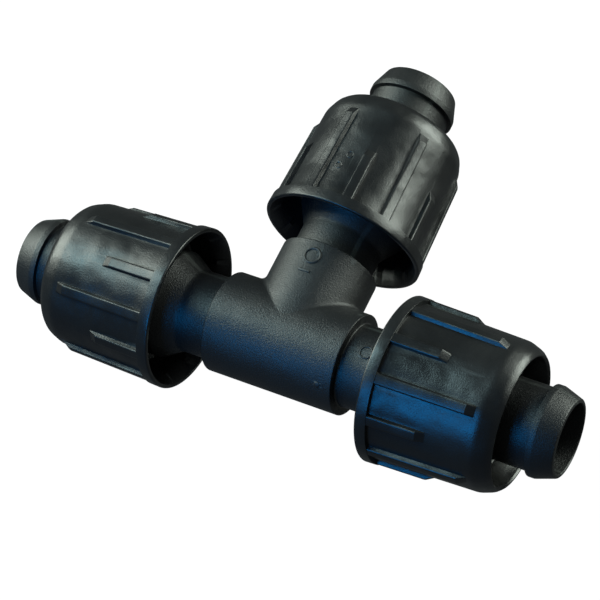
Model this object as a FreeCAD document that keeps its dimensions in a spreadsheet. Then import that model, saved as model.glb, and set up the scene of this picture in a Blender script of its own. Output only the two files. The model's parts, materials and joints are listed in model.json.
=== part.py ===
"""Lock-nut tee for 16 mm polyethylene pipe: one moulded tee and three loose lock nuts.

The tee's two axes cross at the origin. The run lies along X, the branch points along +Y and Z is up.
Each nut is one moulding, built in its own frame and then placed: its rim is at x = 0, its axis is X,
and +X points towards the free end of the arm that it sits on.
"""

import FreeCAD, Part
import os
import Sketcher

DIMENSIONS = {
    # tee body, millimetres
    "run_body_radius": 8.54,
    "run_body_reach": 11.89,
    "branch_body_radius": 8.45,
    "branch_body_reach": 15.18,
    "junction_round": 0.9,
    # one arm, measured along it from the crossing of the axes, as on the run
    "arm_radius": 7.0,
    "collar_foot": 17.8,
    "collar_start": 21.5,
    "collar_reach": 23.96,
    "collar_radius": 9.2,
    "neck_radius": 6.9,
    "barb_foot": 45.0,
    "barb_back": 45.16,
    "barb_radius": 7.6,
    "barb_land": 1.0,
    "tip_radius": 6.5,
    "tip_reach": 49.52,
    "tip_round": 0.3,
    "bore_radius": 5.8,
    "bore_overrun": 1.0,
    "lip_round": 0.2,
    "step_round": 0.3,
    "branch_offset": 2.09,
    # lock nut, measured along its axis from its rim
    "nut_reach": 22.7,
    "rim_radius": 14.0,
    "rim_round": 0.3,
    "rim_length": 2.0,
    "shell_radius": 13.05,
    "shoulder_radius": 12.5,
    "shoulder_reach": 19.6,
    "brow_radius": 11.75,
    "brow_reach": 21.9,
    "brow_round": 2.5,
    "front_radius": 11.0,
    "mouth_radius": 10.66,
    "mouth_reach": 22.2,
    "funnel_radius": 9.8,
    "funnel_reach": 18.0,
    "cavity_rim_radius": 13.3,
    "cavity_lip_radius": 12.2,
    "cavity_lip_reach": 2.0,
    "cavity_radius": 11.4,
    "cavity_reach": 6.5,
    # inside thread of the nut: one coarse right-hand groove
    "thread_root_radius": 9.6,
    "thread_crest_radius": 8.45,
    "thread_pitch": 3.0,
    "thread_groove_width": 2.3,
    "thread_groove_slope": 0.5,
    "thread_start": 4.4,
    "thread_length": 15.0,
    "thread_overlap": 0.4,
    # ribs and lugs of the nut
    "rib_width": 2.0,
    "rib_back_radius": 13.8,
    "rib_front_radius": 13.35,
    "rib_root_radius": 12.3,
    "rib_start": 1.0,
    "long_rib_top": 17.2,
    "long_rib_reach": 18.8,
    "short_rib_top": 10.3,
    "short_rib_reach": 11.5,
    "ribs_per_length": 6,
    "lug_width": 1.4,
    "lug_start": 0.25,
    "lug_reach": 3.2,
    "lug_inner_radius": 12.1,
    "lug_outer_radius": 13.6,
    "lug_root_radius": 12.5,
    "lug_count": 12,
    # nut places: rim planes along their arms, and the angle of the first long rib
    "run_nut_place": 18.93,
    "branch_nut_place": 19.86,
    "left_nut_angle": 52.0,
    "right_nut_angle": 54.5,
    "branch_nut_angle": 12.7,
}

SHEET = "Dims"
FULL_TURN = 360.0
HALF_TURN = 180.0
QUARTER_TURN = 90.0
SHORT_RIB_TURN = 30.0
NEAR = 0.01
AXIS_X = FreeCAD.Vector(1, 0, 0)
AXIS_Y = FreeCAD.Vector(0, 1, 0)
AXIS_Z = FreeCAD.Vector(0, 0, 1)
ORIGIN = FreeCAD.Vector(0, 0, 0)


def make_sheet(doc):
    """Write the driving dimensions into a spreadsheet, one aliased number to a row."""
    sheet = doc.addObject("Spreadsheet::Sheet", SHEET)
    for row, (alias, value) in enumerate(DIMENSIONS.items(), start=1):
        sheet.set(f"A{row}", alias)
        sheet.set(f"B{row}", str(value))
        sheet.setAlias(f"B{row}", alias)
    doc.recompute()
    return sheet


def cell(expression):
    """Turn a formula of dimension names into one that reads the spreadsheet."""
    words = []
    for word in expression.split():
        if word in DIMENSIONS:
            words.append(f"{SHEET}.{word}")
        else:
            words.append(word)
    return " ".join(words)


def number(expression):
    """Work out the same formula here, for the first guess of a sketch."""
    value = 0.0
    sign = 1.0
    for word in expression.split():
        if word == "+":
            sign = 1.0
        elif word == "-":
            sign = -1.0
        else:
            value += sign * float(DIMENSIONS.get(word, word))
            sign = 1.0
    return value


def plane_of(body, role):
    """Find one of the body's own origin planes or axes."""
    for feature in body.Origin.OriginFeatures:
        if feature.Role == role:
            return feature
    raise ValueError(f"{body.Label} has no {role}")


def new_sketch(body, name, role):
    """Start a sketch on one of the body's origin planes."""
    sketch = body.newObject("Sketcher::SketchObject", name)
    sketch.AttachmentSupport = [(plane_of(body, role), "")]
    sketch.MapMode = "FlatFace"
    return sketch


def bind(sketch, kind, geometry, point, expression):
    """Hold one coordinate of a sketch point at a formula of the spreadsheet."""
    index = sketch.addConstraint(
        Sketcher.Constraint(kind, -1, 1, geometry, point, number(expression))
    )
    sketch.setExpression(f"Constraints[{index}]", cell(expression))


def polygon_sketch(body, name, role, corners):
    """Sketch a closed outline whose corners are pairs of formulas."""
    sketch = new_sketch(body, name, role)
    points = [FreeCAD.Vector(number(u), number(v), 0) for u, v in corners]
    count = len(points)
    for index in range(count):
        sketch.addGeometry(Part.LineSegment(points[index], points[(index + 1) % count]), False)
    for index in range(count):
        after = (index + 1) % count
        sketch.addConstraint(Sketcher.Constraint("Coincident", index, 2, after, 1))
    for index, (u, v) in enumerate(corners):
        bind(sketch, "DistanceX", index, 1, u)
        bind(sketch, "DistanceY", index, 1, v)
    return sketch


def circle_sketch(body, name, role, radius):
    """Sketch one circle about the origin."""
    sketch = new_sketch(body, name, role)
    sketch.addGeometry(Part.Circle(ORIGIN, AXIS_Z, number(radius)), False)
    sketch.addConstraint(Sketcher.Constraint("Coincident", 0, 3, -1, 1))
    index = sketch.addConstraint(Sketcher.Constraint("Radius", 0, number(radius)))
    sketch.setExpression(f"Constraints[{index}]", cell(radius))
    return sketch


def revolve(body, name, sketch, axis_name):
    """Turn an outline about one of its sketch's own axes, adding to the body."""
    feature = body.newObject("PartDesign::Revolution", name)
    feature.Profile = sketch
    feature.ReferenceAxis = (sketch, [axis_name])
    feature.Angle = FULL_TURN
    return feature


def circular_edges(shape, axis, place, radius):
    """Name the edges that are circles about an axis at one place and radius."""
    names = []
    for index, edge in enumerate(shape.Edges, start=1):
        curve = edge.Curve
        if not isinstance(curve, Part.Circle):
            continue
        same_place = abs(curve.Center.dot(axis) - place) < NEAR
        same_radius = abs(curve.Radius - radius) < NEAR
        same_axis = abs(abs(curve.Axis.dot(axis)) - 1) < NEAR
        if same_place and same_radius and same_axis:
            names.append(f"Edge{index}")
    return names


def round_edges(body, name, base, edges, radius):
    """Round the named edges of the body's last feature."""
    feature = body.newObject("PartDesign::Fillet", name)
    feature.Base = (base, edges)
    feature.setExpression("Radius", cell(radius))
    body.Tip = feature
    return feature


def arm_outline(shift):
    """List the corners of one arm's half outline, from the body's step out to the bore's end."""
    return [
        (f"collar_foot{shift}", "arm_radius"),
        (f"collar_start{shift}", "collar_radius"),
        (f"collar_reach{shift}", "collar_radius"),
        (f"collar_reach{shift}", "neck_radius"),
        (f"barb_foot{shift}", "neck_radius"),
        (f"barb_back{shift}", "barb_radius"),
        (f"barb_back{shift} + barb_land", "barb_radius"),
        (f"tip_reach{shift} - tip_round", "tip_radius"),
        (f"tip_reach{shift}", "tip_radius - tip_round"),
        (f"tip_reach{shift}", "0"),
    ]


def step_edges(shape):
    """Name the outer edges where the thick bodies step down to the arms."""
    reach = DIMENSIONS["run_body_reach"]
    radius = DIMENSIONS["run_body_radius"]
    names = circular_edges(shape, AXIS_X, -reach, radius)
    names += circular_edges(shape, AXIS_X, reach, radius)
    branch_reach = DIMENSIONS["branch_body_reach"]
    return names + circular_edges(shape, AXIS_Y, branch_reach, DIMENSIONS["branch_body_radius"])


def lip_edges(shape):
    """Name the bore's edges at the three open ends."""
    radius = DIMENSIONS["bore_radius"]
    reach = DIMENSIONS["tip_reach"]
    names = circular_edges(shape, AXIS_X, -reach, radius)
    names += circular_edges(shape, AXIS_X, reach, radius)
    return names + circular_edges(shape, AXIS_Y, reach + DIMENSIONS["branch_offset"], radius)


def mirrored(corners):
    """Give the same corners on the other side of the crossing, in the reverse order."""
    flipped = []
    for along, out in reversed(corners):
        words = along.split()
        signs = {"+": "-", "-": "+"}
        turned = " ".join(signs.get(word, word) for word in words)
        flipped.append((f"0 - {turned}", out))
    return flipped


def make_tee(doc):
    """Build the moulded tee: the run and branch turned, joined, bored through and rounded."""
    body = doc.addObject("PartDesign::Body", "Tee")
    body.Label = "tee_body"
    right = [("run_body_reach", "run_body_radius"), ("run_body_reach", "arm_radius")]
    right += arm_outline("")
    run = polygon_sketch(body, "RunOutline", "XY_Plane", mirrored(right) + right)
    revolve(body, "Run", run, "H_Axis")
    doc.recompute()

    branch = [("0", "branch_body_radius"), ("branch_body_reach", "branch_body_radius")]
    branch += [("branch_body_reach", "arm_radius")]
    branch += arm_outline(" + branch_offset")
    branch += [("0", "0")]
    upright = [(out, along) for along, out in branch]
    stem = polygon_sketch(body, "BranchOutline", "XY_Plane", upright)
    joined = revolve(body, "Branch", stem, "V_Axis")
    doc.recompute()

    seam = []
    for index, edge in enumerate(joined.Shape.Edges, start=1):
        if isinstance(edge.Curve, (Part.Circle, Part.Line)):
            continue
        seam.append(f"Edge{index}")
    round_edges(body, "JunctionRound", joined, seam, "junction_round")
    doc.recompute()

    through = circle_sketch(body, "RunBore", "YZ_Plane", "bore_radius")
    run_bore = body.newObject("PartDesign::Pocket", "RunBoreCut")
    run_bore.Profile = through
    run_bore.Type = "ThroughAll"
    run_bore.Midplane = True
    doc.recompute()

    side = circle_sketch(body, "BranchBore", "XZ_Plane", "bore_radius")
    branch_bore = body.newObject("PartDesign::Pocket", "BranchBoreCut")
    branch_bore.Profile = side
    branch_bore.Type = "Length"
    branch_bore.setExpression("Length", cell("tip_reach + branch_offset + bore_overrun"))
    branch_bore.Reversed = False
    doc.recompute()
    if branch_bore.Shape.Volume >= run_bore.Shape.Volume:
        raise RuntimeError("the branch bore cut nothing")

    stepped = round_edges(body, "StepRound", branch_bore, step_edges(branch_bore.Shape), "step_round")
    doc.recompute()
    round_edges(body, "LipRound", stepped, lip_edges(stepped.Shape), "lip_round")
    doc.recompute()
    return body


def nut_outline():
    """List the corners of the nut's wall in half section, from the rim's outside round to its inside."""
    return [
        ("0", "rim_radius"),
        ("rim_length", "rib_back_radius"),
        ("rim_length", "shell_radius"),
        ("shoulder_reach", "shoulder_radius"),
        ("brow_reach", "brow_radius"),
        ("nut_reach", "front_radius"),
        ("mouth_reach", "mouth_radius"),
        ("funnel_reach", "funnel_radius"),
        ("funnel_reach", "thread_crest_radius"),
        ("cavity_reach", "thread_crest_radius"),
        ("cavity_reach", "cavity_radius"),
        ("cavity_lip_reach", "cavity_lip_radius"),
        ("0", "cavity_rim_radius"),
    ]


def add_bars(body, name, corners, width, count):
    """Stand bars of one width on the nut's axis plane and repeat them evenly about the axis."""
    sketch = polygon_sketch(body, f"{name}Outline", "XY_Plane", corners)
    bar = body.newObject("PartDesign::Pad", name)
    bar.Profile = sketch
    bar.Midplane = True
    bar.setExpression("Length", cell(width))
    body.Document.recompute()
    pattern = body.newObject("PartDesign::PolarPattern", f"{name}Pattern")
    pattern.Originals = [bar]
    pattern.Axis = (plane_of(body, "X_Axis"), [""])
    pattern.Angle = FULL_TURN
    pattern.setExpression("Occurrences", cell(count))
    body.Tip = pattern
    body.Document.recompute()
    return sketch


def add_grip(body, name):
    """Add the outside grip: long ribs, and short ribs half way between them."""
    long_rib = [
        ("rib_start", "rib_root_radius"),
        ("rib_start", "rib_back_radius"),
        ("rim_length", "rib_back_radius"),
        ("long_rib_top", "rib_front_radius"),
        ("long_rib_reach", "rib_root_radius"),
    ]
    add_bars(body, f"{name}LongRib", long_rib, "rib_width", "ribs_per_length")
    short_rib = [
        ("rib_start", "rib_root_radius"),
        ("rib_start", "rib_back_radius"),
        ("short_rib_top", "rib_front_radius"),
        ("short_rib_reach", "rib_root_radius"),
    ]
    outline = add_bars(body, f"{name}ShortRib", short_rib, "rib_width", "ribs_per_length")
    outline.AttachmentOffset = FreeCAD.Placement(ORIGIN, FreeCAD.Rotation(AXIS_X, SHORT_RIB_TURN))
    body.Document.recompute()


def add_lugs(body, name):
    """Add the small lugs just inside the rim, one under each rib."""
    lug = [
        ("lug_start", "lug_inner_radius"),
        ("lug_start", "lug_outer_radius"),
        ("lug_reach", "lug_root_radius"),
        ("lug_reach", "lug_inner_radius"),
    ]
    add_bars(body, f"{name}Lug", lug, "lug_width", "lug_count")


def cut_thread(body, name):
    """Cut the coarse groove that leaves the thread inside the nut."""
    groove = [
        ("thread_start", "thread_crest_radius - thread_overlap"),
        ("thread_start + thread_groove_width", "thread_crest_radius - thread_overlap"),
        ("thread_start + thread_groove_width - thread_groove_slope", "thread_root_radius"),
        ("thread_start + thread_groove_slope", "thread_root_radius"),
    ]
    sketch = polygon_sketch(body, f"{name}GrooveOutline", "XY_Plane", groove)
    helix = body.newObject("PartDesign::SubtractiveHelix", f"{name}Thread")
    helix.Profile = sketch
    helix.ReferenceAxis = (sketch, ["H_Axis"])
    helix.Mode = "pitch-height-angle"
    helix.setExpression("Pitch", cell("thread_pitch"))
    helix.setExpression("Height", cell("thread_length"))
    helix.LeftHanded = False
    helix.Reversed = False
    body.Tip = helix
    body.Document.recompute()
    return helix


def make_nut(doc, name, label):
    """Build one lock nut: a turned shell with a grip outside, lugs in its mouth and a thread inside."""
    body = doc.addObject("PartDesign::Body", name)
    body.Label = label
    shell = polygon_sketch(body, f"{name}Shell", "XY_Plane", nut_outline())
    wall = revolve(body, f"{name}Wall", shell, "H_Axis")
    doc.recompute()
    rim = circular_edges(wall.Shape, AXIS_X, 0.0, DIMENSIONS["rim_radius"])
    rounded = round_edges(body, f"{name}RimRound", wall, rim, "rim_round")
    doc.recompute()
    brow = circular_edges(
        rounded.Shape, AXIS_X, DIMENSIONS["shoulder_reach"], DIMENSIONS["shoulder_radius"]
    )
    brow += circular_edges(
        rounded.Shape, AXIS_X, DIMENSIONS["brow_reach"], DIMENSIONS["brow_radius"]
    )
    round_edges(body, f"{name}BrowRound", rounded, brow, "brow_round")
    doc.recompute()
    add_grip(body, name)
    add_lugs(body, name)
    cut_thread(body, name)
    return body


def place(body, turn_angle, arm_direction, rim_place, rib_angle):
    """Put a nut on its arm, turned about its own axis to its rib angle."""
    spin = FreeCAD.Rotation(AXIS_X, rib_angle)
    turn = FreeCAD.Rotation(AXIS_Z, turn_angle)
    body.Placement = FreeCAD.Placement(arm_direction * rim_place, turn.multiply(spin))


def check_document(doc, bodies):
    """Stop if any object failed or any body's shape is missing or broken."""
    for item in doc.Objects:
        if "Invalid" in item.State or "Error" in item.State:
            raise RuntimeError(f"{item.Name} failed: {item.State}")
    for body in bodies:
        shape = body.Shape
        if shape.isNull() or not shape.isValid():
            raise RuntimeError(f"{body.Label} has no valid shape")
        if len(shape.Solids) != 1:
            raise RuntimeError(f"{body.Label} is not one solid")


def main():
    doc = FreeCAD.newDocument("LockNutTee")
    make_sheet(doc)
    tee = make_tee(doc)
    left_nut = make_nut(doc, "LeftNut", "left_lock_nut")
    right_nut = make_nut(doc, "RightNut", "right_lock_nut")
    branch_nut = make_nut(doc, "BranchNut", "branch_lock_nut")
    run_place = DIMENSIONS["run_nut_place"]
    branch_place = DIMENSIONS["branch_nut_place"]
    place(left_nut, HALF_TURN, AXIS_X.negative(), run_place, DIMENSIONS["left_nut_angle"])
    place(right_nut, 0.0, AXIS_X, run_place, DIMENSIONS["right_nut_angle"])
    place(branch_nut, QUARTER_TURN, AXIS_Y, branch_place, DIMENSIONS["branch_nut_angle"])
    doc.recompute()
    bodies = [tee, left_nut, right_nut, branch_nut]
    check_document(doc, bodies)
    os.makedirs("parts", exist_ok=True)
    for body in bodies:
        body.Shape.exportStep(f"parts/{body.Label}.step")
        box = body.Shape.BoundBox
        print(f"{body.Label}: volume {body.Shape.Volume:.1f} mm3, box {box}")


main()
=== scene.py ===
"""Lock-nut tee for small polyethylene pipe: one moulded tee and a ribbed lock nut on each of its three arms.

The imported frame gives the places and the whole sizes. Each piece is modelled in millimetres about the X axis
or about the crossing of the tee's axes, then scaled to metres in place, so every object stays at the origin.
"""

import json
import logging
import math
from collections.abc import Callable, Iterator
from contextlib import contextmanager
from dataclasses import dataclass
from enum import Enum

import bmesh
import bpy
from mathutils import Matrix, Vector

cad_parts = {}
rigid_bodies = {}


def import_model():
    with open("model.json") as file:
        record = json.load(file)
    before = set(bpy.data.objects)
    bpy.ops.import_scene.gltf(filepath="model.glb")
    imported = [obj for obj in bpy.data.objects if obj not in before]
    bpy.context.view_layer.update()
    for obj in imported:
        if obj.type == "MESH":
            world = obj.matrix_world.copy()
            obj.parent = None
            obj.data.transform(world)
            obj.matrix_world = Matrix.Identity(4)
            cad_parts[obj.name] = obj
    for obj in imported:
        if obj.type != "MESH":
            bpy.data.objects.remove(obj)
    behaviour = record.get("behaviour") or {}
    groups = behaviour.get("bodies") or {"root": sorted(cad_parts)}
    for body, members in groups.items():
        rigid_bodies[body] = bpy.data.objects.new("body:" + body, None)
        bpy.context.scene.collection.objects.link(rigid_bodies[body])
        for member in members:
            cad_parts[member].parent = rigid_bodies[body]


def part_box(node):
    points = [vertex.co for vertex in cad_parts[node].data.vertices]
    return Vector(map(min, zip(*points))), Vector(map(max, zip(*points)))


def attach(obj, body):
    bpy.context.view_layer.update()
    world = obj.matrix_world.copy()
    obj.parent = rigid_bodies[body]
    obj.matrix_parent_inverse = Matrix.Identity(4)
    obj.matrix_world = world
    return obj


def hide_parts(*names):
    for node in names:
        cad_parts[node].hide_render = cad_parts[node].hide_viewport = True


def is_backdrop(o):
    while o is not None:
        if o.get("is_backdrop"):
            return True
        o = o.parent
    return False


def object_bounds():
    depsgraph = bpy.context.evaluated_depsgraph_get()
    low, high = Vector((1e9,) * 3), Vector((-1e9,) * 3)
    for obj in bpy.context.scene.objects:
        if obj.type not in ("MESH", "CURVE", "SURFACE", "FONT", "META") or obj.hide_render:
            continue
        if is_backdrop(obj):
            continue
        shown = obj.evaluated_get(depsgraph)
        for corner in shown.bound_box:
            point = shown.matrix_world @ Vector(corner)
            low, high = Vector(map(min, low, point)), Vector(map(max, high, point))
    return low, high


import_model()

log = logging.getLogger("tee")

METRES = 0.001
RING_STEPS = 180
ARC_STEP = math.radians(18)
SMOOTH_ANGLE = math.radians(24)
MERGE_GAP = 1e-4
SELECT_GAP = 1e-3
RIB_STEEPEST = math.radians(67.5)
COLOUR_A, COLOUR_B, COLOUR_OUT = 6, 7, 2

Point = tuple[float, float]


# ---------------------------------------------------------------- outlines


@dataclass(frozen=True)
class Corner:
    """A corner of a turned outline, in millimetres.

    Args:
        along: distance along the axis.
        out: distance out from the axis.
        round: radius of the arc that replaces the corner, 0 for a sharp one.
    """

    along: float
    out: float
    round: float = 0.0


def rounded(corners: list[Corner], closed: bool) -> list[Point]:
    """Replace each rounded corner of an outline by the points of its arc.

    Args:
        corners: the outline's corners in order.
        closed: whether the last corner joins the first.

    Returns:
        The outline's points as (along, out) pairs.
    """
    places = [Vector((c.along, c.out)) for c in corners]
    count = len(corners)
    points: list[Point] = []
    for index, corner in enumerate(corners):
        here = places[index]
        at_end = not closed and index in (0, count - 1)
        if corner.round <= 0 or at_end:
            points.append((here.x, here.y))
            continue
        before = places[index - 1] - here
        after = places[(index + 1) % count] - here
        half = before.angle(after) / 2
        run = min(corner.round / math.tan(half), 0.48 * before.length, 0.48 * after.length)
        radius = run * math.tan(half)
        before.normalize()
        after.normalize()
        centre = here + (before + after).normalized() * (radius / math.sin(half))
        start = here + before * run - centre
        sweep = start.angle_signed(here + after * run - centre)
        steps = max(2, math.ceil(abs(sweep) / ARC_STEP))
        for step in range(steps + 1):
            spoke = start.copy()
            spoke.rotate(Matrix.Rotation(-sweep * step / steps, 2))
            points.append((centre.x + spoke.x, centre.y + spoke.y))
    return points


# ---------------------------------------------------------------- modelling helpers


def deselect() -> None:
    """Leave nothing selected and nothing active."""
    for item in bpy.context.view_layer.objects:
        item.select_set(False)
    bpy.context.view_layer.objects.active = None


def pick(*objects: bpy.types.Object) -> None:
    """Select only these objects and make the first of them active."""
    deselect()
    for item in objects:
        item.select_set(True)
    bpy.context.view_layer.objects.active = objects[0]


@contextmanager
def editing(obj: bpy.types.Object) -> Iterator[bmesh.types.BMesh]:
    """Open a mesh in edit mode with nothing selected, and close it again afterwards.

    Args:
        obj: the object to edit.

    Returns:
        The edit mesh, as a context.
    """
    pick(obj)
    bpy.ops.object.mode_set(mode="EDIT")
    bpy.ops.mesh.select_mode(type="VERT")
    bpy.ops.mesh.select_all(action="DESELECT")
    try:
        yield bmesh.from_edit_mesh(obj.data)
    finally:
        bpy.ops.object.mode_set(mode="OBJECT")


def select_vertices(obj: bpy.types.Object, test: Callable[[Vector], bool]) -> None:
    """Select the vertices whose place passes a test, and nothing else.

    Args:
        obj: the object in edit mode.
        test: says whether a place is wanted.
    """
    mesh = bmesh.from_edit_mesh(obj.data)
    for part in (mesh.faces, mesh.edges, mesh.verts):
        for item in part:
            item.select = False
    for vertex in mesh.verts:
        if test(vertex.co):
            vertex.select = True
    mesh.select_flush(True)
    bmesh.update_edit_mesh(obj.data)


def apply_modifier(obj: bpy.types.Object, kind: str, **settings: object) -> None:
    """Add one modifier and apply it.

    Args:
        obj: the object that gets it.
        kind: the modifier's type.
        settings: the modifier's own settings.
    """
    pick(obj)
    modifier = obj.modifiers.new(kind.title(), kind)
    for name, value in settings.items():
        setattr(modifier, name, value)
    bpy.ops.object.modifier_apply(modifier=modifier.name)


def join(*objects: bpy.types.Object) -> bpy.types.Object:
    """Join objects into the first one."""
    pick(*objects)
    bpy.ops.object.join()
    return objects[0]


def copied(obj: bpy.types.Object, turn: Matrix) -> bpy.types.Object:
    """Copy an object with its own mesh, and turn the copy's mesh about the origin.

    Args:
        obj: the object to copy.
        turn: the turn of the copy.

    Returns:
        The copy.
    """
    twin = obj.copy()
    twin.data = obj.data.copy()
    twin.data.transform(turn)
    bpy.context.scene.collection.objects.link(twin)
    return twin


def merge(obj: bpy.types.Object) -> None:
    """Merge doubled vertices and point every face outwards."""
    with editing(obj):
        bpy.ops.mesh.select_all(action="SELECT")
        bpy.ops.mesh.remove_doubles(threshold=MERGE_GAP)
        bpy.ops.mesh.normals_make_consistent(inside=False)


def unite(obj: bpy.types.Object, other: bpy.types.Object) -> None:
    """Join another solid into this one and remove the other."""
    apply_modifier(obj, "BOOLEAN", operation="UNION", solver="EXACT", object=other)
    bpy.data.objects.remove(other)


def spin(angle: float, steps: int) -> None:
    """Spin what is selected about X from +Y towards +Z; the operator's own angle runs the other way."""
    bpy.ops.mesh.spin(steps=steps, angle=-angle, center=(0, 0, 0), axis=(1, 0, 0))


def turned(name: str, outline: list[Point]) -> bpy.types.Object:
    """Spin an open outline once round the X axis.

    Args:
        name: the new object's name.
        outline: (along, out) points in millimetres.

    Returns:
        The turned skin, open at the outline's two ends.
    """
    deselect()
    bpy.ops.mesh.primitive_circle_add(vertices=len(outline), radius=1.0)
    obj = bpy.context.active_object
    obj.name = name
    for vertex, (along, out) in zip(obj.data.vertices, outline):
        vertex.co = (along, out, 0)
    last = len(outline) - 1
    with editing(obj) as mesh:
        bpy.ops.mesh.select_mode(type="EDGE")
        for edge in mesh.edges:
            edge.select = {vertex.index for vertex in edge.verts} == {0, last}
        bpy.ops.mesh.delete(type="EDGE")
        bpy.ops.mesh.select_mode(type="VERT")
        bpy.ops.mesh.select_all(action="SELECT")
        spin(math.tau, RING_STEPS)
        bpy.ops.mesh.select_all(action="SELECT")
        bpy.ops.mesh.remove_doubles(threshold=MERGE_GAP)
    return obj


def turned_by(name: str, outline: list[Point], angles: list[float]) -> bpy.types.Object:
    """Turn a closed outline about the X axis through a list of uneven angles.

    Args:
        name: the new object's name.
        outline: (along, out) points in millimetres.
        angles: the angle of each copy of the outline, from +Y towards +Z, in order.

    Returns:
        The turned skin, open at its first and last angle.
    """
    deselect()
    bpy.ops.mesh.primitive_circle_add(vertices=len(outline), radius=1.0)
    obj = bpy.context.active_object
    obj.name = name
    start = angles[0]
    for vertex, (along, out) in zip(obj.data.vertices, outline):
        vertex.co = (along, out * math.cos(start), out * math.sin(start))
    with editing(obj):
        bpy.ops.mesh.select_all(action="SELECT")
        for before, after in zip(angles, angles[1:]):
            spin(after - before, 1)
    return obj


def to_frame(obj: bpy.types.Object, turn: Matrix) -> None:
    """Put a finished mesh in its place in the frame, in metres, and shade it.

    Args:
        obj: a piece modelled in millimetres.
        turn: its place in the frame, in millimetres.
    """
    obj.data.transform(Matrix.Scale(METRES, 4) @ turn)
    pick(obj)
    bpy.ops.object.shade_smooth_by_angle(angle=SMOOTH_ANGLE)
    log.info("%s has %d faces", obj.name, len(obj.data.polygons))


def extent(node: str, axis: int) -> tuple[float, float]:
    """Lowest and highest place of a CAD node along one axis, in millimetres."""
    low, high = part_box(node)
    return low[axis] / METRES, high[axis] / METRES


# ---------------------------------------------------------------- moulded marks


class Shape(Enum):
    """Shapes of the plain marks that stand up from the mouldings."""

    RING = "ring"
    DOT = "dot"
    BAR = "bar"


@dataclass(frozen=True)
class Mark:
    """A small plain mark on a round wall.

    Args:
        shape: which shape it is.
        along: its place along the wall's axis, in millimetres.
        angle: its angle about the axis, in degrees.
        size: radius of a ring or dot, or half the length of a bar.
        height: how far it stands up.
        bar_width: width of a bar.
        bar_round: rounding of a bar's edges.
    """

    shape: Shape
    along: float
    angle: float
    size: float
    height: float = 0.16
    bar_width: float = 0.5
    bar_round: float = 0.09

    def build(self, wall: float) -> bpy.types.Object:
        """Model the mark flat, then wrap it round a wall about the X axis.

        Args:
            wall: the wall's radius.

        Returns:
            The mark, half sunk in the wall.
        """
        deselect()
        if self.shape is Shape.RING:
            bpy.ops.mesh.primitive_torus_add(
                major_radius=self.size, minor_radius=self.height, major_segments=40, minor_segments=12
            )
        elif self.shape is Shape.DOT:
            bpy.ops.mesh.primitive_uv_sphere_add(
                segments=28, ring_count=12, radius=1.0, scale=(self.size, self.size, self.height)
            )
        else:
            bpy.ops.mesh.primitive_cube_add(
                size=1.0, scale=(self.bar_width, 2 * self.size, 2 * self.height)
            )
            apply_modifier(bpy.context.active_object, "BEVEL", width=self.bar_round, segments=3)
        mark = bpy.context.active_object
        middle = math.radians(self.angle)
        for vertex in mark.data.vertices:
            along, round_wall, up = vertex.co
            turn = middle + round_wall / wall
            vertex.co = (self.along + along, (wall + up) * math.cos(turn), (wall + up) * math.sin(turn))
        return mark


# ---------------------------------------------------------------- lock nuts


class Arm(Enum):
    """The three arms, each with its axis in the frame, its side of the crossing and its turn about Z."""

    LEFT = (0, -1, math.pi)
    RIGHT = (0, 1, 0.0)
    BRANCH = (1, 1, math.pi / 2)

    @property
    def axis(self) -> int:
        """Which frame axis the arm lies on."""
        return self.value[0]

    @property
    def side(self) -> int:
        """1 where the arm points along its axis, -1 where it points against it."""
        return self.value[1]

    @property
    def turn(self) -> Matrix:
        """The turn that takes +X to the arm's own direction."""
        return Matrix.Rotation(self.value[2], 4, "Z")


def around(co: Vector) -> float:
    """Angle of a place about the X axis, in degrees, 0 at +Y."""
    return math.degrees(math.atan2(co.z, co.y))


def off_axis(co: Vector) -> float:
    """Distance of a place from the X axis."""
    return math.hypot(co.y, co.z)


def move_out(co: Vector, out: float) -> None:
    """Move a place straight out from the X axis, or in to it.

    Args:
        co: the place, which is changed.
        out: how far off the axis it ends up.
    """
    ratio = out / off_axis(co)
    co.y *= ratio
    co.z *= ratio


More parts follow.
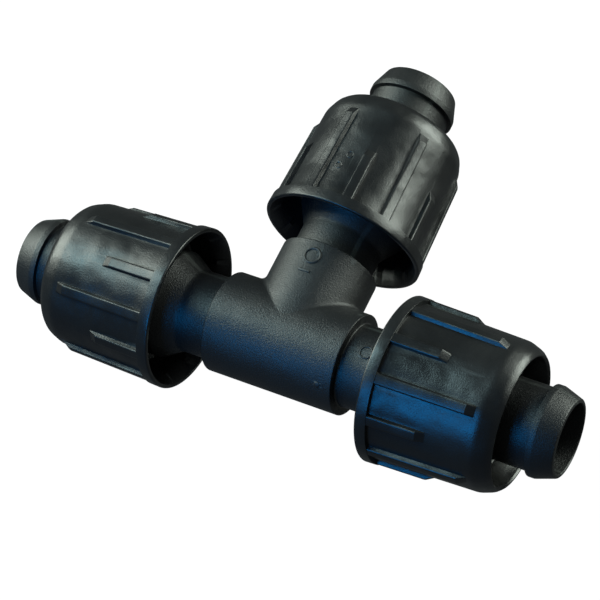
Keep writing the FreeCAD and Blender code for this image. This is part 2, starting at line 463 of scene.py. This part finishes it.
@dataclass
class LockNut:
    """One ribbed lock nut, modelled from its rim at x = 0 towards the end of its arm.

    Args:
        node: the CAD node that it stands for.
        body: the body that it rides on.
        arm: the arm that it sits on.
        rib_angle: angle of one long rib about the nut's axis, in degrees.
        marked_sector: which long rib the two small rings stand beside.
    """

    node: str
    body: str
    arm: Arm
    rib_angle: float
    marked_sector: int = 0
    rim: float = 13.96
    band_length: float = 2.0
    band_front: float = 13.88
    shell: float = 13.05
    shoulder: Point = (19.6, 12.5)
    brow: Point = (21.7, 11.75)
    front_gap: float = 0.25
    front: float = 11.0
    mouth: Point = (22.0, 10.66)
    funnel: Point = (18.0, 9.8)
    thread_root: float = 9.6
    thread_crest: float = 8.45
    thread_pitch: float = 3.0
    thread_base: float = 1.7
    thread_top: float = 0.7
    cavity: Point = (6.5, 11.4)
    lip: Point = (2.0, 12.2)
    lip_mouth: float = 13.3
    rib_back: float = 13.78
    rib_front: float = 13.35
    long_rib: Point = (17.2, 18.6)
    short_rib: Point = (10.2, 11.6)
    rib_top_half: float = 3.7
    rib_foot_half: float = 4.3
    rib_round: float = 0.25
    lug_inner: float = 12.1
    lug_start: float = 0.3
    lug_end: float = 3.2
    lug_top_half: float = 2.6
    lug_foot_half: float = 3.1
    lug_front_slope: float = 0.08
    lug_back_slope: float = 0.2
    plain_columns: int = 4
    mark_size: float = 0.55
    mark_height: float = 0.1
    mark_places: tuple[Point, Point] = ((7.3, 12.0), (9.7, 16.5))
    sectors: int = 6
    edge_round: float = 0.13
    skin_gap: float = 0.3
    thread_sink: float = 0.25
    thread_steps: int = 90

    def wall(self, along: float) -> float:
        """Outer radius of the plain shell at a place along the nut."""
        share = (along - self.band_length) / (self.shoulder[0] - self.band_length)
        return self.shell + share * (self.shoulder[1] - self.shell)

    def flare(self, along: float) -> float:
        """Inner radius of the mouth's flare at a place along the nut."""
        return self.lip_mouth + along / self.lip[0] * (self.lip[1] - self.lip_mouth)

    def outline(self) -> list[Point]:
        """Work out the wall's closed outline, with a ring wherever a rib or lug begins or ends.

        Returns:
            The outline's points, from the rim along the outside and back along the inside.
        """
        reach = extent(self.node, self.arm.axis)
        length = reach[1] - reach[0] - self.front_gap
        corners = [Corner(0, self.rim, 0.35), Corner(self.band_length, self.band_front, 0.16)]
        corners += [Corner(self.band_length, self.rib_back), Corner(self.band_length, self.shell)]
        stations = (*self.short_rib, *self.long_rib)
        corners += [Corner(along, self.wall(along)) for along in stations]
        corners += [Corner(*self.shoulder, 3.5), Corner(*self.brow, 2.5), Corner(length, self.front, 0.18)]
        corners += [Corner(*self.mouth, 0.25), Corner(*self.funnel, 0.4)]
        corners += [Corner(self.funnel[0], self.thread_root, 0.1)]
        corners += [Corner(self.cavity[0], self.thread_root, 0.3), Corner(*self.cavity, 0.5)]
        lug_foot = self.lug_end + self.lug_back_slope
        for along in (lug_foot, self.lug_end):
            share = (along - self.lip[0]) / (self.cavity[0] - self.lip[0])
            corners.append(Corner(along, self.lip[1] + share * (self.cavity[1] - self.lip[1])))
        corners += [Corner(*self.lip)]
        for along in (self.lug_start, self.lug_start - self.lug_front_slope):
            corners.append(Corner(along, self.flare(along)))
        corners += [Corner(0, self.lip_mouth, 0.12)]
        return rounded(corners, closed=True)

    def columns(self) -> list[float]:
        """List the angles of one half sector's columns.

        Returns:
            Angles in degrees, from a rib's middle to half way to the next rib.
        """
        half = 180 / (2 * self.sectors)
        near = [0.0, self.lug_top_half / 2, self.lug_top_half, self.lug_foot_half]
        near += [(self.lug_foot_half + self.rib_top_half) / 2, self.rib_top_half, self.rib_foot_half]
        gap = (half - self.rib_foot_half) / self.plain_columns
        return near + [self.rib_foot_half + gap * (step + 1) for step in range(self.plain_columns)]

    def crown(self, angle: float) -> float:
        """Work out how far a rib's top has fallen away to round its side.

        Args:
            angle: the angle from the rib's middle, in degrees.

        Returns:
            The fall in millimetres.
        """
        width = math.degrees(self.rib_round / self.shell)
        share = (angle - self.rib_top_half) / width + math.sin(RIB_STEEPEST)
        return self.rib_round * (1 - math.sqrt(1 - min(max(share, 0.0), 0.99) ** 2))

    def sector(self, rib: Point) -> bpy.types.Object:
        """Make one sector of the shell with a rib of this length outside and a lug inside.

        Args:
            rib: where the rib's top ends and where its slope meets the shell.

        Returns:
            The open sector, centred on +Y.
        """
        columns = self.columns()
        angles = [-angle for angle in reversed(columns[1:])] + columns
        obj = turned_by("sector", self.outline(), [math.radians(angle) for angle in angles])
        fine = SELECT_GAP
        for vertex in obj.data.vertices:
            along, out, angle = vertex.co.x, off_axis(vertex.co), abs(around(vertex.co))
            outside = out > self.wall(along) - fine
            on_rib = self.band_length - fine < along < rib[0] + fine
            if outside and on_rib and angle < self.rib_top_half + fine:
                share = (along - self.band_length) / (self.long_rib[0] - self.band_length)
                target = self.rib_back + share * (self.rib_front - self.rib_back) - self.crown(angle)
                if out < target:
                    move_out(vertex.co, target)
            inside = out < self.wall(along) - self.skin_gap
            on_lug = self.lug_start - fine < along < self.lug_end + fine
            if inside and on_lug and angle < self.lug_top_half + fine:
                if out > self.lug_inner:
                    move_out(vertex.co, self.lug_inner)
        return obj

    def thread(self) -> bpy.types.Object:
        """Make the coarse thread's ridge, which starts and ends inside the nut's bore.

        Returns:
            One closed coil, sunk a little into the wall.
        """
        root = self.thread_root + self.thread_sink
        base, top = self.thread_base / 2, self.thread_top / 2
        corners = [Corner(-base, root), Corner(-base, self.thread_root)]
        corners += [Corner(-top, self.thread_crest, 0.12), Corner(top, self.thread_crest, 0.12)]
        corners += [Corner(base, self.thread_root), Corner(base, root)]
        outline = rounded(corners, closed=True)
        start = self.cavity[0] + base + 0.1
        run = self.funnel[0] - self.cavity[0] - self.thread_base - 0.2
        deselect()
        bpy.ops.mesh.primitive_circle_add(vertices=len(outline), radius=1.0)
        obj = bpy.context.active_object
        for vertex, (along, out) in zip(obj.data.vertices, outline):
            vertex.co = (start + along, out, 0)
        turns = run / self.thread_pitch
        steps = round(self.thread_steps * turns)
        apply_modifier(
            obj, "SCREW", axis="X", angle=math.tau * turns, screw_offset=run,
            steps=steps, render_steps=steps, iterations=1, use_merge_vertices=False,
        )
        with editing(obj):
            bpy.ops.mesh.select_all(action="SELECT")
            bpy.ops.mesh.fill_holes(sides=0)
            bpy.ops.mesh.normals_make_consistent(inside=False)
        return obj

    def build(self, finish: "Plastic") -> bpy.types.Object:
        """Build the whole nut, put it on its arm and dress it.

        Args:
            finish: the nut's finish.

        Returns:
            The nut in its place.
        """
        step = 360 / self.sectors
        shell: list[bpy.types.Object] = []
        for rib, offset in ((self.long_rib, 0.0), (self.short_rib, step / 2)):
            first = self.sector(rib)
            for index in range(self.sectors):
                turn = Matrix.Rotation(math.radians(offset + step * index), 4, "X")
                shell.append(copied(first, turn))
            bpy.data.objects.remove(first)
        nut = join(*shell)
        nut.name = f"{self.body}_moulding"
        merge(nut)
        apply_modifier(
            nut, "BEVEL", width=self.edge_round, segments=3, limit_method="ANGLE",
            angle_limit=math.radians(38), offset_type="OFFSET", use_clamp_overlap=True,
        )
        marks = []
        for along, beside in self.mark_places:
            angle = self.marked_sector * step + beside
            mark = Mark(Shape.RING, along, angle, self.mark_size, self.mark_height)
            marks.append(mark.build(self.wall(along)))
        unite(nut, join(self.thread(), *marks))
        low, high = extent(self.node, self.arm.axis)
        rim_place = low if self.arm.side > 0 else -high
        rib_turn = Matrix.Rotation(math.radians(self.rib_angle), 4, "X")
        to_frame(nut, self.arm.turn @ Matrix.Translation((rim_place, 0, 0)) @ rib_turn)
        finish.dress(nut)
        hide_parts(self.node)
        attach(nut, self.body)
        return nut


# ---------------------------------------------------------------- tee


@dataclass
class Skin:
    """The skin round a tee junction: a run tube and a branch tube with a soft inner corner between them.

    It serves twice, once for the outside and once for the bore.

    Args:
        run: radius of the run's tube.
        branch: radius of the branch's tube.
        corner: radius of the soft corner between them.
        run_end: where the skin stops on the run, either way.
        branch_end: where it stops on the branch.
    """

    run: float
    branch: float
    corner: float
    run_end: float
    branch_end: float
    run_columns: int = 12
    arc_columns: int = 8
    branch_columns: int = 12
    rows: int = RING_STEPS // 2

    def place(self, column: int, row: int) -> Vector:
        """Place one point of the right half's front.

        Args:
            column: its column, counted from the run's end.
            row: its row, counted from below.

        Returns:
            The point in millimetres.
        """
        tilt = math.pi * (row / self.rows - 0.5)
        height = self.branch * math.sin(tilt)
        wall = self.branch * math.cos(tilt)
        crest = math.sqrt(max(0.0, self.run**2 - height**2))
        soft = self.corner * math.cos(tilt)
        if column <= self.run_columns:
            share = column / self.run_columns
            return Vector((self.run_end + share * (wall + soft - self.run_end), crest, height))
        if column <= self.run_columns + self.arc_columns:
            turn = math.pi / 2 * (column - self.run_columns) / self.arc_columns
            x = wall + soft * (1 - math.sin(turn))
            return Vector((x, crest + soft * (1 - math.cos(turn)), height))
        share = (column - self.run_columns - self.arc_columns) / self.branch_columns
        return Vector((wall, crest + soft + share * (self.branch_end - crest - soft), height))

    def build(self, name: str) -> bpy.types.Object:
        """Make the whole skin.

        Args:
            name: the new object's name.

        Returns:
            The skin, open at its three ends.
        """
        columns = self.run_columns + self.arc_columns + self.branch_columns
        deselect()
        bpy.ops.mesh.primitive_grid_add(x_subdivisions=columns, y_subdivisions=self.rows, size=2.0)
        obj = bpy.context.active_object
        obj.name = name
        for vertex in obj.data.vertices:
            column = round((vertex.co.x + 1) / 2 * columns)
            row = round((vertex.co.y + 1) / 2 * self.rows)
            vertex.co = self.place(column, row)
        apply_modifier(obj, "MIRROR", use_axis=(True, False, False), merge_threshold=MERGE_GAP)
        top = self.place(0, self.rows)
        front_half = math.atan2(top.z, top.y)
        with editing(obj):
            select_vertices(
                obj, lambda co: abs(co.z - top.z) < MERGE_GAP and abs(co.y - top.y) < MERGE_GAP
            )
            back = math.tau - 2 * front_half
            spin(back, round(RING_STEPS * back / math.tau))
            bpy.ops.mesh.select_all(action="SELECT")
            bpy.ops.mesh.remove_doubles(threshold=MERGE_GAP)
        return obj


@dataclass
class Tee:
    """The moulded tee: thick run and branch bodies, three coned and barbed arms, and one bore through all."""

    node: str = "tee_body"
    body: str = "tee"
    run: float = 8.54
    run_step: float = 11.89
    branch: float = 8.45
    branch_step: float = 15.18
    corner: float = 0.9
    step_round: float = 0.3
    arm: float = 7.0
    arm_foot_ring: float = 7.6
    foot_gap: float = 0.2
    collar_foot: float = 31.72
    collar_start: float = 28.02
    collar_front: float = 25.56
    collar: float = 9.2
    neck: float = 6.9
    barb_foot: float = 4.52
    barb_back: float = 4.36
    barb_land: float = 1.0
    barb: float = 7.6
    nose: float = 6.5
    bore: float = 5.8
    bore_corner: float = 0.25
    arm_bore: float = 5.0
    skin_bore: float = 7.0

    def marks(self) -> bpy.types.Object:
        """Make the plain marks: a ring and a bar on the branch, a dot on the run, a ring on the right arm.

        Returns:
            All the marks as one object.
        """
        made: list[bpy.types.Object] = []
        for arm, wall, mark in (
            (Arm.BRANCH, self.branch, Mark(Shape.RING, 12.4, 91.0, 1.3, 0.22)),
            (Arm.BRANCH, self.branch, Mark(Shape.BAR, 9.5, 90.0, 1.0, 0.2)),
            (Arm.RIGHT, self.run, Mark(Shape.DOT, 9.5, 146.0, 0.55)),
            (Arm.RIGHT, self.arm, Mark(Shape.RING, 15.5, 90.0, 1.0)),
        ):
            piece = mark.build(wall)
            piece.data.transform(arm.turn)
            made.append(piece)
        return join(*made)

    def tip(self, arm: Arm) -> float:
        """Distance from the crossing to the end of an arm."""
        low, high = extent(self.node, arm.axis)
        return high if arm.side > 0 else -low

    def step(self, arm: Arm) -> float:
        """Distance from the crossing to where the thick body steps down to an arm."""
        return self.run_step if arm.axis == 0 else self.branch_step

    def body_radius(self, arm: Arm) -> float:
        """Radius of the thick body that an arm stands on."""
        return self.run if arm.axis == 0 else self.branch

    def make_arm(self, arm: Arm) -> bpy.types.Object:
        """Turn one arm from the step to a little way inside its own bore, and swing it into its direction.

        Args:
            arm: which arm.

        Returns:
            The arm, open at its foot and in its bore.
        """
        tip = self.tip(arm)
        step = self.step(arm)
        corners = [
            Corner(step, self.arm_foot_ring),
            Corner(step, self.arm, 0.3),
            Corner(tip - self.collar_foot, self.arm, 1.5),
            Corner(tip - self.collar_start, self.collar, 0.3),
            Corner(tip - self.collar_front, self.collar, 0.15),
            Corner(tip - self.collar_front, self.neck, 0.25),
            Corner(tip - self.barb_foot, self.neck, 0.06),
            Corner(tip - self.barb_back, self.barb, 0.05),
            Corner(tip - self.barb_back + self.barb_land, self.barb, 0.8),
            Corner(tip - 0.12, self.nose, 0.35),
            Corner(tip, self.bore + 0.12, 0.12),
            Corner(tip - 0.2, self.bore, 0.2),
            Corner(tip - self.arm_bore, self.bore),
        ]
        obj = turned("arm", rounded(corners, closed=False))
        obj.data.transform(arm.turn)
        return obj

    def finish_step(self, obj: bpy.types.Object, arm: Arm) -> None:
        """Extrude the open end of the outer skin round the step's edge and on to the arm's foot.

        Args:
            obj: the outer skin.
            arm: the arm whose step is made.
        """
        step = self.step(arm)
        radius = self.body_radius(arm)
        start = Corner(step - self.step_round, radius)
        foot = self.arm_foot_ring + self.foot_gap
        corners = [start, Corner(step, radius, self.step_round), Corner(step, foot)]
        points = rounded(corners, closed=False)[2:]
        along = Vector((0, 0, 0))
        along[arm.axis] = arm.side
        with editing(obj):
            here = step - self.step_round
            select_vertices(obj, lambda co: abs(co.dot(along) - here) < MERGE_GAP)
            out = radius
            for next_along, next_out in points:
                ratio = next_out / out
                bpy.ops.mesh.extrude_region_move(
                    TRANSFORM_OT_translate={"value": along * (next_along - here)}
                )
                scale = [ratio, ratio, ratio]
                scale[arm.axis] = 1.0
                bpy.ops.transform.resize(value=scale, center_override=(0, 0, 0))
                here, out = next_along, next_out

    def bridge(self, obj: bpy.types.Object, arm: Arm, places: tuple[Point, Point]) -> None:
        """Bridge two open rings of an arm.

        Args:
            obj: the tee.
            arm: which arm.
            places: each ring's place along the arm and its radius.
        """
        along = Vector((0, 0, 0))
        along[arm.axis] = arm.side

        def on_ring(co: Vector) -> bool:
            """Say whether a place is on one of the two rings."""
            reach = co.dot(along)
            out = (co - along * reach).length
            near = 2 * SELECT_GAP
            return any(abs(reach - a) < near and abs(out - r) < near for a, r in places)

        with editing(obj):
            select_vertices(obj, on_ring)
            bpy.ops.mesh.select_mode(type="EDGE")
            bpy.ops.mesh.bridge_edge_loops()

    def build(self, finish: "Plastic") -> bpy.types.Object:
        """Build the whole tee and dress it.

        Args:
            finish: the tee's finish.

        Returns:
            The tee in its place.
        """
        run_tip, branch_tip = self.tip(Arm.RIGHT), self.tip(Arm.BRANCH)
        outer = Skin(
            self.run, self.branch, self.corner,
            self.run_step - self.step_round, self.branch_step - self.step_round,
        ).build("outer_skin")
        inner = Skin(
            self.bore, self.bore, self.bore_corner, run_tip - self.skin_bore, branch_tip - self.skin_bore
        ).build("bore_skin")
        for arm in Arm:
            self.finish_step(outer, arm)
        arms = [self.make_arm(arm) for arm in Arm]
        tee = join(outer, inner, *arms)
        tee.name = "tee_moulding"
        for arm in Arm:
            tip, step = self.tip(arm), self.step(arm)
            foot = self.arm_foot_ring
            self.bridge(tee, arm, ((step, foot), (step, foot + self.foot_gap)))
            self.bridge(tee, arm, ((tip - self.arm_bore, self.bore), (tip - self.skin_bore, self.bore)))
        merge(tee)
        unite(tee, self.marks())
        to_frame(tee, Matrix.Identity(4))
        finish.dress(tee)
        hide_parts(self.node)
        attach(tee, self.body)
        return tee


# ---------------------------------------------------------------- finishes


Value = float | tuple[float, ...] | bpy.types.NodeSocket


def add_node(
    tree: bpy.types.NodeTree, kind: str, inputs: dict[str | int, Value], **settings: object
) -> bpy.types.Node:
    """Add a node with its settings, and give each named input a value or a link.

    Args:
        tree: the node tree.
        kind: the node's type.
        inputs: a value or another node's output for each input, by name or number.
        settings: the node's own settings.

    Returns:
        The new node.
    """
    node = tree.nodes.new(kind)
    for name, value in settings.items():
        setattr(node, name, value)
    for name, value in inputs.items():
        if isinstance(value, bpy.types.NodeSocket):
            tree.links.new(value, node.inputs[name])
        else:
            node.inputs[name].default_value = value
    return node


def start_group(name: str, inputs: dict[str, float], outputs: tuple[str, ...]) -> bpy.types.NodeTree:
    """Start a shader node group of plain values.

    Args:
        name: the group's name.
        inputs: each input's name and default.
        outputs: the outputs' names.

    Returns:
        The group, with its input and output nodes in place.
    """
    group = bpy.data.node_groups.new(name, "ShaderNodeTree")
    for label, default in inputs.items():
        socket = group.interface.new_socket(name=label, in_out="INPUT", socket_type="NodeSocketFloat")
        socket.default_value = default
    for label in outputs:
        group.interface.new_socket(name=label, in_out="OUTPUT", socket_type="NodeSocketFloat")
    group.nodes.new("NodeGroupInput")
    group.nodes.new("NodeGroupOutput")
    return group


def ends(group: bpy.types.NodeTree) -> tuple[bpy.types.NodeOutputs, bpy.types.NodeInputs]:
    """Find what comes into a group and what goes out of it."""
    return group.nodes["Group Input"].outputs, group.nodes["Group Output"].inputs


def moulded_skin() -> bpy.types.NodeTree:
    """Build or find the group for a moulded surface: slow sink waves and the mould's fine sparked grain.

    Returns:
        The group, which puts out Wave and Grain.
    """
    found = bpy.data.node_groups.get("Moulded skin")
    if found:
        return found
    group = start_group("Moulded skin", {"Wave scale": 170.0, "Grain scale": 3800.0}, ("Wave", "Grain"))
    given, out = ends(group)
    place = add_node(group, "ShaderNodeTexCoord", {}).outputs["Object"]
    wave = add_node(
        group, "ShaderNodeTexNoise", {"Vector": place, "Scale": given["Wave scale"], "Detail": 1.5}
    )
    grain = add_node(
        group, "ShaderNodeTexNoise",
        {"Vector": place, "Scale": given["Grain scale"], "Detail": 3.0, "Roughness": 0.65},
    )
    group.links.new(wave.outputs["Fac"], out["Wave"])
    group.links.new(grain.outputs["Fac"], out["Grain"])
    return group


def handling_and_edge_highlight() -> bpy.types.NodeTree:
    """Build or find the group for dull smudges, a painted highlight along sharp convex edges and a few pale
    specks of dust.

    Returns:
        The group, which puts out Smudge, Painted edge highlight and Speck.
    """
    found = bpy.data.node_groups.get("Handling and edge highlight")
    if found:
        return found
    group = start_group(
        "Handling and edge highlight", {"Smudge scale": 95.0, "Speck scale": 900.0}, ("Smudge", "Painted edge highlight", "Speck")
    )
    given, out = ends(group)
    place = add_node(group, "ShaderNodeTexCoord", {}).outputs["Object"]
    smudge = add_node(
        group, "ShaderNodeTexNoise",
        {"Vector": place, "Scale": given["Smudge scale"], "Detail": 5.0, "Roughness": 0.6, "Distortion": 0.4},
    ).outputs["Fac"]
    spread = add_node(group, "ShaderNodeMapRange", {"Value": smudge, "From Min": 0.35, "From Max": 0.68})
    # Painted highlight: sharp convex edges, found by pointiness, get a paler colour that stands in for the
    # thin light lines along rounded edges. It is patchy and follows the smudges.
    point = add_node(group, "ShaderNodeNewGeometry", {}).outputs["Pointiness"]
    edge = add_node(group, "ShaderNodeMapRange", {"Value": point, "From Min": 0.53, "From Max": 0.62})
    painted_edge_highlight = add_node(
        group, "ShaderNodeMath", {0: edge.outputs["Result"], 1: spread.outputs["Result"]},
        operation="MULTIPLY",
    )
    cells = add_node(group, "ShaderNodeTexVoronoi", {"Vector": place, "Scale": given["Speck scale"]})
    speck = add_node(
        group, "ShaderNodeMapRange",
        {"Value": cells.outputs["Distance"], "From Min": 0.1, "From Max": 0.05},
    )
    group.links.new(spread.outputs["Result"], out["Smudge"])
    group.links.new(painted_edge_highlight.outputs["Value"], out["Painted edge highlight"])
    group.links.new(speck.outputs["Result"], out["Speck"])
    return group


@dataclass(frozen=True)
class Plastic:
    """Black polypropylene straight from the mould.

    Args:
        name: the material's name.
        colour: its linear base colour.
        edge_highlight_and_dust: the paler colour painted along its sharp edges as a highlight, also taken on
            by specks of dust.
        glossy: roughness where it is clean.
        dull: roughness where it is smudged.
        wave_depth: depth of the sink waves, in metres.
        grain_depth: depth of the moulded grain, in metres.
        dust: how much of that pale colour a speck of dust takes on.
    """

    name: str
    colour: tuple[float, float, float]
    # Paler colour that is painted along sharp edges as a highlight, and is also the colour of dust specks.
    edge_highlight_and_dust: tuple[float, float, float] = (0.05, 0.055, 0.052)
    glossy: float = 0.28
    dull: float = 0.44
    wave_depth: float = 0.00045
    grain_depth: float = 0.00003
    dust: float = 0.12

    def material(self) -> bpy.types.Material:
        """Make the material, or find it if it was made before.

        Returns:
            The material.
        """
        found = bpy.data.materials.get(self.name)
        if found:
            return found
        material = bpy.data.materials.new(self.name)
        material.use_nodes = True
        tree = material.node_tree
        shader = tree.nodes["Principled BSDF"]
        skin = add_node(tree, "ShaderNodeGroup", {}, node_tree=moulded_skin())
        smudge_dust_and_highlight = add_node(tree, "ShaderNodeGroup", {}, node_tree=handling_and_edge_highlight())
        speck = add_node(
            tree, "ShaderNodeMath", {0: smudge_dust_and_highlight.outputs["Speck"], 1: self.dust}, operation="MULTIPLY"
        )
        # Painted highlight: the paler colour goes on sharp convex edges in place of their thin highlights, and
        # on specks of dust.
        pale = add_node(
            tree, "ShaderNodeMath", {0: smudge_dust_and_highlight.outputs["Painted edge highlight"], 1: speck.outputs["Value"]},
            operation="MAXIMUM",
        )
        colour = add_node(
            tree, "ShaderNodeMix",
            {
                "Factor": pale.outputs["Value"],
                COLOUR_A: (*self.colour, 1), COLOUR_B: (*self.edge_highlight_and_dust, 1),
            },
            data_type="RGBA",
        )
        rough = add_node(
            tree, "ShaderNodeMapRange",
            {"Value": smudge_dust_and_highlight.outputs["Smudge"], "To Min": self.glossy, "To Max": self.dull},
        )
        wave = add_node(
            tree, "ShaderNodeBump",
            {"Strength": 1.0, "Distance": self.wave_depth, "Height": skin.outputs["Wave"]},
        )
        grain = add_node(
            tree, "ShaderNodeBump",
            {
                "Strength": 1.0, "Distance": self.grain_depth, "Height": skin.outputs["Grain"],
                "Normal": wave.outputs["Normal"],
            },
        )
        tree.links.new(colour.outputs[COLOUR_OUT], shader.inputs["Base Color"])
        tree.links.new(rough.outputs["Result"], shader.inputs["Roughness"])
        tree.links.new(grain.outputs["Normal"], shader.inputs["Normal"])
        return material

    def dress(self, obj: bpy.types.Object) -> None:
        """Give a piece this finish."""
        obj.data.materials.clear()
        obj.data.materials.append(self.material())


# ---------------------------------------------------------------- studio


DAYLIGHT = (0.9, 1.0, 0.9)
COOL = (0.6, 0.95, 1.0)
BLUE = (0.0, 0.35, 1.0)
FLOOR_SHADE = (0.05, 0.05, 0.05)


@dataclass(frozen=True)
class SoftLight:
    """A square soft light that faces the crossing of the tee.

    Args:
        name: its name.
        azimuth: where it hangs round the fitting, in degrees from +X towards +Y.
        elevation: how high it hangs, in degrees.
        distance: how far from the crossing, in metres.
        size: its side, in metres.
        power: its power, in watts.
        colour: its linear colour.
    """

    name: str
    azimuth: float
    elevation: float
    distance: float
    size: float
    power: float
    colour: tuple[float, float, float]

    @property
    def place(self) -> Vector:
        """Work out where it hangs.

        Returns:
            Its place in metres.
        """
        turn, tilt = math.radians(self.azimuth), math.radians(self.elevation)
        flat = math.cos(tilt)
        way = Vector((math.cos(turn) * flat, math.sin(turn) * flat, math.sin(tilt)))
        return way * self.distance

    def hang(self) -> None:
        """Make the light and hang it."""
        data = bpy.data.lights.new(self.name, "AREA")
        data.size = self.size
        data.energy = self.power
        data.color = self.colour
        piece = bpy.data.objects.new(self.name, data)
        piece.location = self.place
        piece.rotation_euler = (-self.place).to_track_quat("-Z", "Y").to_euler()
        bpy.context.scene.collection.objects.link(piece)


@dataclass
class Studio:
    """Floor, lights and camera.

    Args:
        azimuth: where the camera stands, in degrees from -Y towards +X.
        elevation: how high it stands, in degrees.
        distance: how far from the crossing it stands, in metres.
        roll: its turn about its own line of sight, in degrees.
        aim: the place it looks at, in metres.
        lens: its focal length, in millimetres.
        air_colour: the linear colour of the even light in the room.
        air_strength: the strength of that light.
        lamps: the soft lights.
    """

    azimuth: float = 49.1
    elevation: float = 59.7
    distance: float = 0.376
    roll: float = -24.8
    aim: tuple[float, float, float] = (-0.0007, 0.0066, 0.0028)
    lens: float = 138.5
    air_colour: tuple[float, float, float, float] = (0.9, 1.0, 1.0, 1.0)
    air_strength: float = 0.1
    lamps: tuple[SoftLight, ...] = (
        SoftLight("left_window", 170, 30, 0.5, 0.3, 3.0, DAYLIGHT),
        SoftLight("high_window", 180, 60, 0.5, 0.2, 1.2, COOL),
        SoftLight("back_window", 50, 10, 0.5, 0.3, 3.5, DAYLIGHT),
        SoftLight("blue_lamp", 260, 40, 0.2, 0.08, 0.22, BLUE),
    )

    def camera(self) -> None:
        """Set up the camera."""
        data = bpy.data.cameras.new("camera")
        camera = bpy.data.objects.new("camera", data)
        bpy.context.scene.collection.objects.link(camera)
        turn, tilt = math.radians(self.azimuth), math.radians(self.elevation)
        flat = math.cos(tilt)
        back = Vector((math.sin(turn) * flat, -math.cos(turn) * flat, math.sin(tilt)))
        camera.location = back * self.distance
        look = (Vector(self.aim) - camera.location).to_track_quat("-Z", "Y")
        camera.rotation_mode = "QUATERNION"
        camera.rotation_quaternion = look @ Matrix.Rotation(math.radians(self.roll), 3, "Z").to_quaternion()
        data.lens = self.lens
        data.sensor_width = 36.0
        bpy.context.scene.camera = camera

    def floor(self) -> None:
        """Lay a plain pale floor under the lowest point of the fitting, lit so that it stays near white."""
        deselect()
        bpy.ops.mesh.primitive_plane_add(size=4.0)
        floor = bpy.context.active_object
        floor.name = "floor"
        floor.data.transform(Matrix.Translation((0, 0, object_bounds()[0].z)))
        material = bpy.data.materials.new("pale_floor")
        material.use_nodes = True
        shader = material.node_tree.nodes["Principled BSDF"]
        shader.inputs["Base Color"].default_value = (*FLOOR_SHADE, 1)
        shader.inputs["Roughness"].default_value = 1.0
        shader.inputs["Specular IOR Level"].default_value = 0.0
        shader.inputs["Emission Color"].default_value = (1.0, 1.0, 1.0, 1)
        shader.inputs["Emission Strength"].default_value = 1.0
        floor.data.materials.append(material)
        floor.visible_glossy = False
        floor.visible_diffuse = False
        floor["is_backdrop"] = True

    def air(self) -> None:
        """Fill the room with a faint even light, and show white beyond the floor."""
        world = bpy.data.worlds.new("room")
        world.use_nodes = True
        tree = world.node_tree
        dim = tree.nodes["Background"]
        dim.inputs["Color"].default_value = self.air_colour
        dim.inputs["Strength"].default_value = self.air_strength
        white = add_node(tree, "ShaderNodeBackground", {"Color": (1, 1, 1, 1), "Strength": 1.0})
        seen = add_node(tree, "ShaderNodeLightPath", {}).outputs["Is Camera Ray"]
        both = add_node(
            tree, "ShaderNodeMixShader",
            {0: seen, 1: dim.outputs["Background"], 2: white.outputs["Background"]},
        )
        tree.links.new(both.outputs["Shader"], tree.nodes["World Output"].inputs["Surface"])
        bpy.context.scene.world = world

    def build(self) -> None:
        """Set the whole studio."""
        self.camera()
        self.floor()
        for lamp in self.lamps:
            lamp.hang()
        self.air()
        bpy.context.scene.view_settings.view_transform = "Standard"


def main() -> None:
    """Build the fitting piece by piece, then the studio round it."""
    logging.basicConfig(level=logging.INFO, format="%(message)s")
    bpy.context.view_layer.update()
    tee_finish = Plastic(
        "tee_plastic", (0.006, 0.0065, 0.007), glossy=0.4, dull=0.5, wave_depth=0.0002, grain_depth=0.00008
    )
    Tee().build(tee_finish)
    nut_finish = Plastic("nut_plastic", (0.005, 0.0055, 0.006))
    LockNut("left_lock_nut", "left_nut", Arm.LEFT, 52.0, marked_sector=3).build(nut_finish)
    LockNut("right_lock_nut", "right_nut", Arm.RIGHT, 54.5, marked_sector=4).build(nut_finish)
    LockNut("branch_lock_nut", "branch_nut", Arm.BRANCH, 12.7, marked_sector=1).build(nut_finish)
    Studio().build()


if __name__ == "__main__":
    main()
